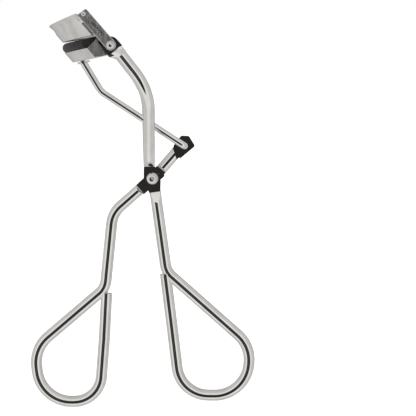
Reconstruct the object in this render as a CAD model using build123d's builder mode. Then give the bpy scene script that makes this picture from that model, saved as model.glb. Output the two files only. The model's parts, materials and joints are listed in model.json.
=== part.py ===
"""Wire-framed eyelash curler, in millimetres.

X runs from the moving finger loop towards the fixed one, Z points up from the loops to the
head, and Y is the width of the jaws. The origin is the bottom centre of the whole object.
"""

import os
from math import asin, cos, degrees, radians, sin

from build123d import *

# Wires and flats
handle_wire = 2.9
wire_r = handle_wire / 2
link_wire_size = 1.8
flat_thickness = 1.4
blade_gap = 0.05
wire_offset = flat_thickness / 2 + blade_gap

# Main pivot, from the origin
pivot_x = 2.55
pivot_z = 59.9
pivot_pin_r = 1.0
pivot_hole_r = 1.05
pivot_head_r = 1.5
washer_r = 2.1
washer_thickness = 0.4

# Eye at the end of the lever's short arm, from the pivot
eye_x, eye_z = 8.4, 8.3
eye_hole_r = 1.0
eye_front_y = 0.95
eye_thickness = 1.25

# Head: the rails lean back from the vertical, and the jaws are arcs in planes that tilt from them
rail_lean = 41
rail_x, rail_z = -12.1, 33.8
jaw_tilt = 29
rim_tilt = 19.5
plate_inner_y = 14.6
plate_thickness = 0.8
plate_width = 2.7
plate_top_r = 10.4
slot_b, slot_width = -1.45, 1.0
slot_low_r, slot_high_r = 2.4, 8.95

# Rivets of the head, by bulge and rail position
arm_rivet_b, arm_rivet_r = -1.35, -0.55
jaw_rivet_b, jaw_rivet_r = -1.35, 9.72

# Upper jaw
lip_radius = 18.7
lip_apex_b = 7.0
lip_thickness = 0.8
lip_edge_r = 3.95
rim_edge_r = 10.5
flare_height = 2.4
flare_reach = 0.9

# Lower jaw and its pad, from the top of the rails' slots downwards
pad_radius = 16.3
pad_apex_b = 6.5
pad_foot_width = 3.0
pad_head_width = 4.3
pad_gap = 0.1
pad_end_y = 12.3
pad_top_r = 3.55
pad_rounding = 1.2
channel_wall = 0.7
channel_end_y = 12.4
channel_bottom_r = -2.3
channel_floor_r = -1.5
channel_top_r = 0.8
ear_inner_y = 13.0
ear_thickness = 0.6
ear_back_b = 0.6

# Arms between the neck and the head
arm_y = plate_inner_y - 0.4
arm_foot_y = wire_r + 0.05
arm_foot_z = 4.4
paddle_width = 4.3
paddle_thickness = 0.75

# Link: its top end in the floor of the lower jaw, and its bend
link_b, link_r = 6.6, 1.66
link_lean = 31
link_top_run = 9.65
link_bend_radius = 4.0
link_neck_r = 0.65
link_hole_r = 0.95
link_head_r = 1.15
link_head_height = 0.5
collar_r = 1.55
collar_thickness = 0.5
link_play = 0.25

front = Plane(origin=(pivot_x, 0, pivot_z), x_dir=(1, 0, 0), z_dir=(0, -1, 0))
rail_up = Vector(-sin(radians(rail_lean)), 0, cos(radians(rail_lean)))
bulge = Vector(-cos(radians(rail_lean)), 0, -sin(radians(rail_lean)))
rail_origin = Vector(pivot_x + rail_x, 0, pivot_z + rail_z)
plan = Plane(origin=rail_origin, x_dir=bulge, z_dir=rail_up)


def pivot_point(x, z, y=0.0):
    """World point measured from the main pivot."""
    return Vector(pivot_x + x, y, pivot_z + z)


def head_point(b, r, y=0.0):
    """World point from the head's own directions: bulge, along the rails, and width."""
    return rail_origin + bulge * b + rail_up * r + Vector(0, y, 0)


def front_at(y):
    """The plane of the handles at the given Y, facing -Y."""
    return front.offset(-y)


def side_at(y):
    """The plane of a side plate at the given Y, facing +Y, with local axes bulge and rail."""
    return Plane(origin=head_point(0, 0, y), x_dir=bulge, z_dir=(0, 1, 0))


def tilted(r, tilt):
    """A plane across the rails, rising towards the bulge of the jaws."""
    along, climb = cos(radians(tilt)), sin(radians(tilt))
    return Plane(
        origin=head_point(0, r),
        x_dir=bulge * along + rail_up * climb,
        z_dir=rail_up * along - bulge * climb,
    )


def add_wire(points, radii, diameter):
    """A round wire along straight runs joined by arcs, through world points."""
    with BuildLine() as route:
        FilletPolyline(*points, radius=radii)
    with BuildSketch(Plane(origin=route.line @ 0, z_dir=route.line % 0)) as section:
        Circle(diameter / 2)
    sweep(sections=section.sketch, path=route.line)


def add_run(start, finish, diameter):
    """One straight length of wire between two world points."""
    with BuildLine() as route:
        Line(start, finish)
    with BuildSketch(Plane(origin=start, z_dir=finish - start)) as section:
        Circle(diameter / 2)
    sweep(sections=section.sketch, path=route.line)


def add_plate(plane, points, thickness, rounding=0.0, mode=Mode.ADD):
    """A flat plate with a polygon outline, extruded along the plane's normal."""
    with BuildSketch(plane) as outline:
        with BuildLine():
            Polyline(*points, close=True)
        make_face()
        if rounding:
            fillet(outline.vertices(), rounding)
    extrude(outline.sketch, amount=thickness, mode=mode)


def flatten_wire(direction, faces, flat_to, fade_to):
    """Cut a wire through the pivot down to two flat faces that fade out along its direction.

    faces are the Y of the front and back flats; direction is an (x, z) pair from the pivot.
    """
    heading = Vector(direction[0], 0, direction[1]).normalized()
    plane = Plane(origin=pivot_point(0, 0), x_dir=heading, z_dir=heading.cross(Vector(0, 1, 0)))
    for face, outward in ((faces[0], -1), (faces[1], 1)):
        far = 6 * outward
        with BuildSketch(plane) as wedge:
            with BuildLine():
                Polyline(
                    (-1.5, face), (flat_to, face), (fade_to, face + 1.0 * outward),
                    (fade_to, far), (-1.5, far), close=True,
                )
            make_face()
        extrude(wedge.sketch, amount=3.2, both=True, mode=Mode.SUBTRACT)


def arc_band(r, centre_b, inner, outer, half_width, back_b=-4.0):
    """Plan view of a curved wall, as a sketch across the rails at the given height."""
    with BuildSketch(plan.offset(r)) as band:
        with Locations((centre_b, 0)):
            Circle(outer)
            Circle(inner, mode=Mode.SUBTRACT)
        with Locations((back_b + 10, 0)):
            Rectangle(20, 2 * half_width, mode=Mode.INTERSECT)
    return band.sketch


def dome_middle(radius, height):
    """Half-way point of a shallow dome's arc, as (height, radius), for a dome that is part of a sphere."""
    sphere = (radius**2 + height**2) / (2 * height)
    half_angle = asin(radius / sphere) / 2
    return height - sphere + sphere * cos(half_angle), sphere * sin(half_angle)


def add_rivet(base, outward, grip, shank_r, head_r, head_height, tail=None, dimple_r=0.0):
    """A rivet whose head sits on the base point, with its shank running inwards.

    tail is the (radius, height) of a second head that is peened over the far end.
    """
    with BuildSketch(Plane(origin=base, x_dir=outward, z_dir=(1, 0, 0))) as profile:
        with BuildLine():
            ThreePointArc((0, head_r), dome_middle(head_r, head_height), (head_height, 0))
            if tail:
                tail_r, tail_height = tail
                bottom = -grip - tail_height
                tail_middle, tail_middle_r = dome_middle(tail_r, tail_height)
                Polyline((0, head_r), (0, shank_r), (-grip, shank_r), (-grip, tail_r))
                ThreePointArc((-grip, tail_r), (-grip - tail_middle, tail_middle_r), (bottom, 0))
            else:
                bottom = -grip
                Polyline((0, head_r), (0, shank_r), (bottom, shank_r), (bottom, 0))
            Line((bottom, 0), (head_height, 0))
        make_face()
        if dimple_r:
            with Locations((head_height + dimple_r * 0.4, 0)):
                Circle(dimple_r, mode=Mode.SUBTRACT)
    revolve(profile.sketch, axis=Axis(base, outward))


def hole_along_y(point, radius, mode=Mode.SUBTRACT):
    """A round hole parallel to Y through a world point."""
    with BuildSketch(Plane(origin=point, z_dir=(0, 1, 0))) as circle:
        Circle(radius)
    extrude(circle.sketch, amount=20, both=True, mode=mode)


def export(part, label):
    part.label = label
    export_step(part, f"parts/{label}.step")


os.makedirs("parts", exist_ok=True)
sides = {"near": -1, "far": 1}

# ---- Fixed handle: finger loop, stem, and the flat blade that carries the pivot
fixed_y = -wire_offset
fixed_route = [(0.1, 1.0), (3.6, -24.3), (25.5, -43.9), (24.6, -57.1), (7.2, -56.7), (5.1, -39.0)]
fixed_radii = [5, 8.8, 8.9, 8.4]
fixed_closing = [(5.1, -39.0), (3.35, -24.9)]
fixed_blade = [(-2.2, 3.1), (-2.25, 0.2), (-1.4, -2.6), (-0.4, -4.4), (2.0, -4.4), (2.15, -0.6), (0.7, 3.1)]

with BuildPart() as fixed_handle:
    add_wire([pivot_point(x, z, fixed_y) for x, z in fixed_route], fixed_radii, handle_wire)
    add_run(*[pivot_point(x, z, fixed_y) for x, z in fixed_closing], handle_wire)
    flatten_wire((0.14, -0.99), (-blade_gap - flat_thickness, -blade_gap), 3.6, 7.2)
    add_plate(front_at(-blade_gap), fixed_blade, flat_thickness, 0.35)
    hole_along_y(pivot_point(0, 0), pivot_pin_r)
export(fixed_handle.part, "fixed_handle")

# ---- Lever handle: finger loop, stem, blade behind the fixed one, short arm and its eye
lever_y = wire_offset
lever_route = [(-1.0, -0.95), (-10.3, -9.1), (-12.3, -28.7), (-30.8, -44.4), (-29.2, -58.5),
               (-13.9, -58.4), (-12.6, -42.0)]
lever_radii = [7, 5, 8.8, 9.1, 7]
lever_closing = [(-12.6, -42.0), (-11.95, -30.0)]
lever_arm = [(0.6, 0.15), (6.9, 7.45)]
lever_blade = [(-4.3, -1.9), (-2.3, -4.3), (3.3, 0.6), (1.4, 3.3)]
eye_plate = [(5.5, 8.3), (7.0, 4.8), (11.2, 8.3), (9.6, 10.9), (7.6, 11.0)]
eye_relief = [(5.0, 8.7), (6.5, 4.4), (11.6, 8.2), (9.8, 11.4), (7.3, 11.5)]

with BuildPart() as lever_handle:
    add_wire([pivot_point(x, z, lever_y) for x, z in lever_route], lever_radii, handle_wire)
    add_run(*[pivot_point(x, z, lever_y) for x, z in lever_closing], handle_wire)
    add_run(*[pivot_point(x, z, lever_y) for x, z in lever_arm], handle_wire)
    lever_faces = (blade_gap, blade_gap + flat_thickness)
    flatten_wire((-0.753, -0.659), lever_faces, 4.3, 5.1)
    flatten_wire((0.63, 0.777), lever_faces, 3.3, 4.0)
    add_plate(front_at(blade_gap + flat_thickness), lever_blade, flat_thickness, 0.4)
    add_plate(front_at(4), eye_plate, 4 - eye_front_y - eye_thickness, mode=Mode.SUBTRACT)
    add_plate(front_at(eye_front_y), eye_relief, 4, mode=Mode.SUBTRACT)
    add_plate(front_at(eye_front_y + eye_thickness), eye_plate, eye_thickness, 0.6)
    hole_along_y(pivot_point(0, 0), pivot_hole_r)
    hole_along_y(pivot_point(eye_x, eye_z), eye_hole_r)
export(lever_handle.part, "lever_handle")

# ---- Main pivot: a dimpled rivet through both blades, peened over a washer at the back
blade_front = pivot_point(0, 0, -blade_gap - flat_thickness)
washer_front_y = flat_thickness + 2 * blade_gap
washer_back_y = washer_front_y + washer_thickness

with BuildPart() as pivot_rivet:
    add_rivet(blade_front, Vector(0, -1, 0), washer_back_y - blade_front.Y, pivot_pin_r, pivot_head_r, 0.6,
              tail=(pivot_head_r, 0.5), dimple_r=0.45)
export(pivot_rivet.part, "pivot_rivet")

with BuildPart() as pivot_washer:
    with BuildSketch(front_at(washer_back_y)):
        Circle(washer_r)
        Circle(pivot_pin_r, mode=Mode.SUBTRACT)
    extrude(amount=washer_thickness)
    chamfer(pivot_washer.edges().group_by(Axis.Y)[-1].sort_by(SortBy.LENGTH)[-1], 0.12)
export(pivot_washer.part, "pivot_washer")

# ---- Neck: the block of braze that joins both arms to the top of the fixed blade
neck_x = -0.8
with BuildPart() as neck_braze:
    blade_top = Plane(origin=pivot_point(neck_x, 3.1, fixed_y), x_dir=(1, 0, 0), z_dir=(0, 0, 1))
    arms_foot = Plane(origin=pivot_point(neck_x, arm_foot_z), x_dir=(1, 0, 0), z_dir=(0, 0, 1))
    with BuildSketch(blade_top):
        RectangleRounded(handle_wire, flat_thickness, 0.3)
    with BuildSketch(arms_foot):
        RectangleRounded(handle_wire, 2 * handle_wire, 1.2)
    loft()
export(neck_braze.part, "neck_braze")

# ---- Arms: two wires that fork from the neck and end in flattened paddles beside the head
for name, side in sides.items():
    y = side * arm_y
    wire_top = head_point(-1.7, -4.2, y)
    with BuildPart() as arm:
        foot = pivot_point(neck_x, arm_foot_z - 1.2, side * (arm_foot_y - 0.8))
        add_wire([foot, pivot_point(-1.1, 22.9, y), wire_top], [13], handle_wire)
        split(bisect_by=Plane(origin=pivot_point(0, arm_foot_z)), keep=Keep.TOP)
        split(bisect_by=Plane(origin=(0, side * 0.02, 0), z_dir=(0, side, 0)), keep=Keep.TOP)
        heading = (wire_top - pivot_point(-1.1, 22.9, y)).normalized()
        with BuildSketch(Plane(origin=wire_top, x_dir=bulge, z_dir=heading)) as wire_end:
            Circle(wire_r)
        flat_start = Plane(origin=head_point(arm_rivet_b, -2.3, y), x_dir=bulge, z_dir=rail_up)
        with BuildSketch(flat_start) as paddle_end:
            Rectangle(paddle_width, paddle_thickness)
        loft([wire_end.sketch, paddle_end.sketch])
        with BuildSketch(side_at(y - paddle_thickness / 2)) as paddle:
            with Locations((arm_rivet_b, arm_rivet_r)):
                Circle(paddle_width / 2)
            with Locations((arm_rivet_b, (arm_rivet_r - 2.3) / 2)):
                Rectangle(paddle_width, abs(arm_rivet_r + 2.3))
        extrude(paddle.sketch, amount=paddle_thickness)
        hole_along_y(head_point(arm_rivet_b, arm_rivet_r), 0.55)
    export(arm.part, f"{name}_arm")

# ---- Side plates: slotted rails that guide the lower jaw
for name, side in sides.items():
    low_y = min(side * plate_inner_y, side * (plate_inner_y + plate_thickness))
    with BuildPart() as side_plate:
        with BuildSketch(side_at(low_y)) as plate:
            with Locations((-plate_width / 2, (plate_top_r + arm_rivet_r) / 2)):
                Rectangle(plate_width, plate_top_r - arm_rivet_r)
            fillet(plate.vertices().group_by(Axis.Y)[-1], 0.5)
            with Locations((-plate_width / 2, arm_rivet_r)):
                Circle(plate_width / 2)
            with Locations((slot_b, (slot_low_r + slot_high_r) / 2)):
                SlotOverall(slot_high_r - slot_low_r, slot_width, rotation=90, mode=Mode.SUBTRACT)
        extrude(plate.sketch, amount=plate_thickness)
        chamfer(side_plate.faces().sort_by(Axis((0, 0, 0), (0, side, 0)))[-1].outer_wire().edges(), 0.12)
        hole_along_y(head_point(arm_rivet_b, arm_rivet_r), 0.55)
        hole_along_y(head_point(jaw_rivet_b, jaw_rivet_r), 0.4)
    export(side_plate.part, f"{name}_side_plate")

    outward = Vector(0, side, 0)
    outer_y = side * (plate_inner_y + plate_thickness)
    with BuildPart() as arm_rivet:
        grip = plate_thickness + paddle_thickness
        add_rivet(head_point(arm_rivet_b, arm_rivet_r, outer_y), outward, grip, 0.55, 1.1, 0.5)
    export(arm_rivet.part, f"{name}_arm_rivet")

    with BuildPart() as jaw_rivet:
        grip = plate_thickness + 0.7
        add_rivet(head_point(jaw_rivet_b, jaw_rivet_r, outer_y), outward, grip, 0.4, 0.62, 0.3)
    export(jaw_rivet.part, f"{name}_jaw_rivet")

# ---- Upper jaw: a curved sheet with a pressing lip below, a flared rim above, and two lugs
lip_centre_b = lip_apex_b - lip_radius
lip_inner = lip_radius - lip_thickness / 2
lip_outer = lip_radius + lip_thickness / 2
flare_base = tilted(rim_edge_r - flare_height, rim_tilt)
rim_ellipse_x = lip_radius / cos(radians(rim_tilt))
rim_centre_x = lip_centre_b / cos(radians(rim_tilt))
rim_swing = degrees(asin((plate_inner_y + plate_thickness) / lip_radius))

with BuildPart() as upper_jaw:
    extrude(arc_band(2, lip_centre_b, lip_inner, lip_outer, plate_inner_y, -1.0), amount=14)
    split(bisect_by=tilted(lip_edge_r, jaw_tilt), keep=Keep.TOP)
    fillet(upper_jaw.faces().sort_by(Axis((0, 0, 0), tilted(0, jaw_tilt).z_dir))[0].edges()
           .sort_by(SortBy.LENGTH)[-2:], 0.35)
    split(bisect_by=flare_base, keep=Keep.BOTTOM)
    with BuildLine(flare_base) as rim:
        EllipticalCenterArc((rim_centre_x, 0), rim_ellipse_x, lip_radius, -rim_swing, arc_size=2 * rim_swing)
    start = rim.line @ 0
    outward_at_start = (rim.line % 0).cross(flare_base.z_dir)
    with BuildSketch(Plane(origin=start, x_dir=outward_at_start, z_dir=rim.line % 0 * -1)) as flare:
        half = lip_thickness / 2
        tip = flare_reach
        with BuildLine():
            ThreePointArc((half, 0), (half + tip * 0.22, flare_height / 2), (half + tip, flare_height))
            ThreePointArc((half + tip, flare_height), (tip, flare_height + half), (tip - half, flare_height))
            ThreePointArc((tip - half, flare_height), (tip * 0.22 - half, flare_height / 2), (-half, 0))
            Line((-half, 0), (half, 0))
        make_face()
    sweep(sections=flare.sketch, path=rim.line)
    for side in sides.values():
        lug_y = min(side * 13.9, side * plate_inner_y)
        add_plate(side_at(lug_y), [(-2.4, 9.05), (0.6, 9.05), (0.6, 10.6), (-2.4, 10.4)], 0.7)
        cut_y = side * plate_inner_y if side > 0 else -plate_inner_y - 4
        add_plate(side_at(cut_y), [(-6, 0), (0.05, 0), (0.05, 18), (-6, 18)], 4, mode=Mode.SUBTRACT)
        trim_y = side * (plate_inner_y + plate_thickness) if side > 0 else -plate_inner_y - plate_thickness - 4
        add_plate(side_at(trim_y), [(-6, 0), (12, 0), (12, 18), (-6, 18)], 4, mode=Mode.SUBTRACT)
    hole_along_y(head_point(jaw_rivet_b, jaw_rivet_r), 0.4)
export(upper_jaw.part, "upper_jaw")

# ---- Lower jaw: a curved channel for the pad, with ears that run in the side plates' slots
link_top = head_point(link_b, link_r)
link_up = Vector(-sin(radians(link_lean)), 0, cos(radians(link_lean)))
link_bend = link_top - link_up * link_top_run
pad_centre_b = pad_apex_b - pad_radius
groove_half = pad_foot_width / 2 + pad_gap
wall_half = groove_half + channel_wall
pad_outer_wall = pad_radius + wall_half
ear = [(ear_back_b, -1.85), (3.6, -0.25), (3.6, 2.7), (1.0, 2.9), (-0.7, 3.3), (-0.7, 8.5), (-2.3, 8.5),
       (-2.3, 2.2), (ear_back_b, 2.2)]
tab = [(slot_b - 0.4, 7.0), (slot_b + 0.4, 7.0), (slot_b + 0.4, 8.5), (slot_b - 0.4, 8.5)]

with BuildPart() as groove:
    extrude(arc_band(-6, pad_centre_b, pad_radius - groove_half, pad_radius + groove_half, 15), amount=16)
    split(bisect_by=tilted(channel_floor_r, jaw_tilt), keep=Keep.TOP)

with BuildPart() as lower_jaw:
    extrude(arc_band(-6, pad_centre_b, pad_radius - wall_half, pad_outer_wall, channel_end_y), amount=16)
    split(bisect_by=tilted(channel_top_r, jaw_tilt), keep=Keep.BOTTOM)
    add(groove.part, mode=Mode.SUBTRACT)
    wrap_y = ear_inner_y + ear_thickness
    extrude(arc_band(-6, pad_centre_b, pad_outer_wall - channel_wall, pad_outer_wall, wrap_y, ear_back_b),
            amount=16)
    split(bisect_by=tilted(channel_top_r, jaw_tilt), keep=Keep.BOTTOM)
    split(bisect_by=tilted(channel_bottom_r, jaw_tilt), keep=Keep.TOP)
    for side in sides.values():
        ear_y = min(side * ear_inner_y, side * wrap_y)
        add_plate(side_at(ear_y), ear, ear_thickness, 0.12)
        tab_y = min(side * ear_inner_y, side * 15.9)
        add_plate(side_at(tab_y), tab, 15.9 - ear_inner_y, 0.2)
    with BuildSketch(Plane(origin=link_top, z_dir=link_up)) as link_hole:
        Circle(link_hole_r)
    extrude(link_hole.sketch, amount=3, both=True, mode=Mode.SUBTRACT)
export(lower_jaw.part, "lower_jaw")

# ---- Pad: silicone strip with a foot in the channel and a wider, rounded head above it
half_foot = pad_foot_width / 2
with BuildPart() as foot:
    extrude(arc_band(-6, pad_centre_b, pad_radius - half_foot, pad_radius + half_foot, pad_end_y), amount=16)
    split(bisect_by=tilted(channel_top_r + 0.2, jaw_tilt), keep=Keep.BOTTOM)
    split(bisect_by=tilted(channel_floor_r + 0.02, jaw_tilt), keep=Keep.TOP)

half_head = pad_head_width / 2
with BuildPart() as silicone_pad:
    extrude(arc_band(-6, pad_centre_b, pad_radius - half_head, pad_radius + half_head, pad_end_y), amount=16)
    split(bisect_by=tilted(pad_top_r, jaw_tilt), keep=Keep.BOTTOM)
    split(bisect_by=tilted(channel_top_r + 0.1, jaw_tilt), keep=Keep.TOP)
    pad_top = silicone_pad.faces().sort_by(Axis((0, 0, 0), tilted(0, jaw_tilt).z_dir))[-1]
    fillet(pad_top.edges().sort_by(SortBy.LENGTH)[-2:], pad_rounding)
    add(foot.part)
    with BuildSketch(tilted(channel_floor_r - 0.5, jaw_tilt)) as pocket:
        with Locations(tilted(channel_floor_r - 0.5, jaw_tilt).to_local_coords(link_top)):
            Circle(link_head_r + 0.6)
    extrude(pocket.sketch, amount=0.5 + link_head_height + 2 * link_play + 0.5, mode=Mode.SUBTRACT)
export(silicone_pad.part, "silicone_pad")

# ---- Link: wire from the lever's eye to the floor of the lower jaw
floor_under = tilted(channel_bottom_r, jaw_tilt)
floor_over = tilted(channel_floor_r, jaw_tilt)
collar_top = floor_under.offset(-link_play)
collar_low = collar_top.offset(-collar_thickness)
washer_y = eye_front_y + eye_thickness + 0.05
eye = pivot_point(eye_x, eye_z)


def meet(plane):
    """Where the link's top run crosses a plane across the rails."""
    return plane.intersect(Axis(link_top, link_up))


with BuildPart() as link_wire:
    add_wire([meet(collar_low) + link_up, link_bend, eye, eye + Vector(0, washer_y + 0.4, 0)],
             [link_bend_radius, link_wire_size / 2 + 0.1], link_wire_size)
    split(bisect_by=collar_low, keep=Keep.BOTTOM)
    add_run(meet(collar_low) - link_up, meet(floor_over) + link_up * 0.5, 2 * link_neck_r)
    with BuildSketch(floor_over.offset(link_play)) as head:
        with Locations(floor_over.to_local_coords(meet(floor_over.offset(link_play)))):
            Circle(link_head_r)
    extrude(head.sketch, amount=link_head_height)
    with BuildSketch(front_at(washer_y + 0.4)) as peened:
        with Locations((eye_x, eye_z)):
            Circle(1.2)
    extrude(peened.sketch, amount=-0.4)
    fillet(link_wire.faces().sort_by(Axis.Y)[-1].edges(), 0.25)
export(link_wire.part, "link_wire")

with BuildPart() as link_collar:
    with BuildSketch(collar_low) as collar:
        with Locations(collar_low.to_local_coords(meet(collar_low))):
            Circle(collar_r)
    extrude(collar.sketch, amount=collar_thickness)
    with BuildSketch(Plane(origin=link_top, z_dir=link_up)) as bore:
        Circle(link_neck_r)
    extrude(bore.sketch, amount=4, both=True, mode=Mode.SUBTRACT)
export(link_collar.part, "link_collar")

with BuildPart() as eye_washer:
    with BuildSketch(front_at(washer_y + 0.4)) as ring:
        with Locations((eye_x, eye_z)):
            Circle(1.75)
            Circle(link_wire_size / 2, mode=Mode.SUBTRACT)
    extrude(ring.sketch, amount=0.4)
export(eye_washer.part, "eye_washer")
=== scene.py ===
import json
import math

import bpy
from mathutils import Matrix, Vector

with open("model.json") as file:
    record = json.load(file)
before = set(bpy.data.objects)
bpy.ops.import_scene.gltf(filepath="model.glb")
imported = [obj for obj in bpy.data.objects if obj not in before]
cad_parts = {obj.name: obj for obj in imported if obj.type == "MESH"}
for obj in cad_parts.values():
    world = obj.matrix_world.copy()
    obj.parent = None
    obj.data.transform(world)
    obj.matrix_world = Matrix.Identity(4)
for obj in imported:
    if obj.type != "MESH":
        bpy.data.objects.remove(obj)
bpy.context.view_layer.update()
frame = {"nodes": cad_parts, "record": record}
nodes = frame["nodes"]
MM = 0.001


# ---- Shader helpers

def new_material(name):
    mat = bpy.data.materials.new(name)
    mat.use_nodes = True
    tree = mat.node_tree
    tree.nodes.clear()
    out = tree.nodes.new("ShaderNodeOutputMaterial")
    bsdf = tree.nodes.new("ShaderNodeBsdfPrincipled")
    tree.links.new(bsdf.outputs[0], out.inputs["Surface"])
    return mat, tree, bsdf


def noise(tree, scale, detail=3.0, stretch=None):
    coords = tree.nodes.new("ShaderNodeTexCoord")
    source = coords.outputs["Object"]
    if stretch is not None:
        mapping = tree.nodes.new("ShaderNodeMapping")
        mapping.inputs["Rotation"].default_value = stretch[0]
        mapping.inputs["Scale"].default_value = stretch[1]
        tree.links.new(source, mapping.inputs["Vector"])
        source = mapping.outputs[0]
    tex = tree.nodes.new("ShaderNodeTexNoise")
    tex.inputs["Scale"].default_value = scale
    tex.inputs["Detail"].default_value = detail
    tree.links.new(source, tex.inputs["Vector"])
    return tex.outputs["Fac"]


def ramp(tree, source, low, high, from_lo=0.35, from_hi=0.65):
    node = tree.nodes.new("ShaderNodeMapRange")
    node.inputs["From Min"].default_value = from_lo
    node.inputs["From Max"].default_value = from_hi
    node.inputs["To Min"].default_value = low
    node.inputs["To Max"].default_value = high
    tree.links.new(source, node.inputs["Value"])
    return node.outputs[0]


def tint(tree, source, dark, light):
    node = tree.nodes.new("ShaderNodeMix")
    node.data_type = "RGBA"
    node.inputs["A"].default_value = (*dark, 1)
    node.inputs["B"].default_value = (*light, 1)
    tree.links.new(source, node.inputs["Factor"])
    return node.outputs["Result"]


def bump(tree, bsdf, source, height, strength=1.0):
    node = tree.nodes.new("ShaderNodeBump")
    node.inputs["Distance"].default_value = height
    node.inputs["Strength"].default_value = strength
    tree.links.new(source, node.inputs["Height"])
    tree.links.new(node.outputs[0], bsdf.inputs["Normal"])


def metal(name, dark, light, rough_lo, rough_hi, scale, bump_mm, stretch=None):
    mat, tree, bsdf = new_material(name)
    bsdf.inputs["Metallic"].default_value = 1.0
    cloud = noise(tree, scale, 4.0, stretch)
    fine = noise(tree, scale * 6, 3.0, stretch)
    tree.links.new(tint(tree, ramp(tree, cloud, 0, 1), dark, light), bsdf.inputs["Base Color"])
    tree.links.new(ramp(tree, fine, rough_lo, rough_hi, 0.3, 0.7), bsdf.inputs["Roughness"])
    bump(tree, bsdf, cloud, bump_mm * MM)
    return mat


def rubber(name):
    mat, tree, bsdf = new_material(name)
    cloud = noise(tree, 900, 4.0)
    grain = noise(tree, 9000, 2.0)
    tree.links.new(tint(tree, ramp(tree, cloud, 0, 1), (0.006, 0.006, 0.007), (0.014, 0.014, 0.016)),
                   bsdf.inputs["Base Color"])
    tree.links.new(ramp(tree, grain, 0.42, 0.6), bsdf.inputs["Roughness"])
    bump(tree, bsdf, grain, 0.004 * MM, 0.6)
    return mat


chrome = metal("chrome_wire", (0.78, 0.77, 0.76), (0.86, 0.86, 0.86), 0.04, 0.09, 260, 0.004)
rail_lean = math.radians(41)
jaw_steel = metal("jaw_plate", (0.74, 0.73, 0.72), (0.86, 0.86, 0.86), 0.26, 0.38, 420, 0.002,
                  ((0, rail_lean, 0), (1, 1, 0.12)))
rivet = metal("rivet_steel", (0.62, 0.60, 0.59), (0.74, 0.73, 0.72), 0.08, 0.18, 700, 0.006)
pad_black = rubber("pad_rubber")
looks = {"chrome_wire": chrome, "jaw_plate": jaw_steel, "rivet_steel": rivet, "pad_rubber": pad_black}
slots = {s["node"]: s["material_slot"] for s in frame["record"]["subparts"]}
for name, obj in nodes.items():
    for i in range(len(obj.material_slots)):
        obj.material_slots[i].material = looks[slots[name]]
    if not obj.material_slots:
        obj.data.materials.append(looks[slots[name]])


# ---- Floor, light and camera

def plain(name, colour, glow):
    mat, tree, bsdf = new_material(name)
    bsdf.inputs["Base Color"].default_value = (*colour, 1)
    bsdf.inputs["Roughness"].default_value = 0.9
    bsdf.inputs["Emission Color"].default_value = (1, 1, 1, 1)
    bsdf.inputs["Emission Strength"].default_value = glow
    return mat


def sheet(name, corners, mat):
    mesh = bpy.data.meshes.new(name)
    mesh.from_pydata(corners, [], [(0, 1, 2, 3)])
    obj = bpy.data.objects.new(name, mesh)
    obj.data.materials.append(mat)
    bpy.context.scene.collection.objects.link(obj)
    return obj


floor_half_width, floor_front, floor_back = 4, -1, 8
floor = sheet("floor", [(-floor_half_width, floor_front, 0), (floor_half_width, floor_front, 0),
                        (floor_half_width, floor_back, 0), (-floor_half_width, floor_back, 0)],
              plain("floor_white", (0.9, 0.9, 0.9), 0.72))
floor.visible_glossy = False

# A dark card stands on the camera's side and white sides surround it; the camera itself sees plain white
scene = bpy.context.scene
world = bpy.data.worlds.new("studio")
scene.world = world
world.use_nodes = True
wt = world.node_tree
wt.nodes.clear()
world_out = wt.nodes.new("ShaderNodeOutputWorld")
white = wt.nodes.new("ShaderNodeBackground")
white.inputs["Color"].default_value = (1, 1, 1, 1)
tent = wt.nodes.new("ShaderNodeBackground")
directions = wt.nodes.new("ShaderNodeTexCoord")
toward = wt.nodes.new("ShaderNodeVectorMath")
toward.operation = "DOT_PRODUCT"
card_side = Vector((-0.20, -0.955, -0.22)).normalized()
toward.inputs[1].default_value = card_side
wt.links.new(directions.outputs["Generated"], toward.inputs[0])
angle = wt.nodes.new("ShaderNodeMath")
angle.operation = "ARCCOSINE"
wt.links.new(toward.outputs["Value"], angle.inputs[0])
turn = wt.nodes.new("ShaderNodeMapRange")
turn.inputs["From Max"].default_value = math.pi
wt.links.new(angle.outputs[0], turn.inputs["Value"])
card = wt.nodes.new("ShaderNodeValToRGB")
wt.links.new(turn.outputs[0], card.inputs["Fac"])
# Degrees away from the card's centre, and the brightness there
stops = [(0, 0.07), (9, 0.06), (16, 0.025), (28, 0.02), (34, 0.86), (55, 0.90), (70, 0.66), (88, 0.60),
         (100, 0.66), (128, 0.60), (150, 0.40), (180, 0.34)]
elements = card.color_ramp.elements
for i, (degrees, level) in enumerate(stops):
    e = elements[i] if i < 2 else elements.new(degrees / 180)
    e.position = degrees / 180
    e.color = (level, level * 0.985, level * 0.96, 1)
wt.links.new(card.outputs[0], tent.inputs["Color"])
rays = wt.nodes.new("ShaderNodeLightPath")
choose = wt.nodes.new("ShaderNodeMixShader")
wt.links.new(rays.outputs["Is Camera Ray"], choose.inputs[0])
wt.links.new(tent.outputs[0], choose.inputs[1])
wt.links.new(white.outputs[0], choose.inputs[2])
wt.links.new(choose.outputs[0], world_out.inputs[0])

camera_data = bpy.data.cameras.new("camera")
camera = bpy.data.objects.new("camera", camera_data)
scene.collection.objects.link(camera)
scene.camera = camera
sensor = 36
camera_data.sensor_width = sensor
distance = 0.5
field = 0.10832
target = Vector((0.01704, 0, 0.05209))
azimuth, elevation = math.radians(-3.0), math.radians(4.1)
back_dir = Vector((math.sin(azimuth) * math.cos(elevation), -math.cos(azimuth) * math.cos(elevation),
                   math.sin(elevation)))
camera.location = target + back_dir * distance
camera.rotation_mode = "QUATERNION"
camera.rotation_quaternion = (-back_dir).to_track_quat("-Z", "Y")
camera_data.lens = sensor * distance / field
camera_data.clip_start, camera_data.clip_end = 0.01, 50
scene.view_settings.view_transform = "Standard"
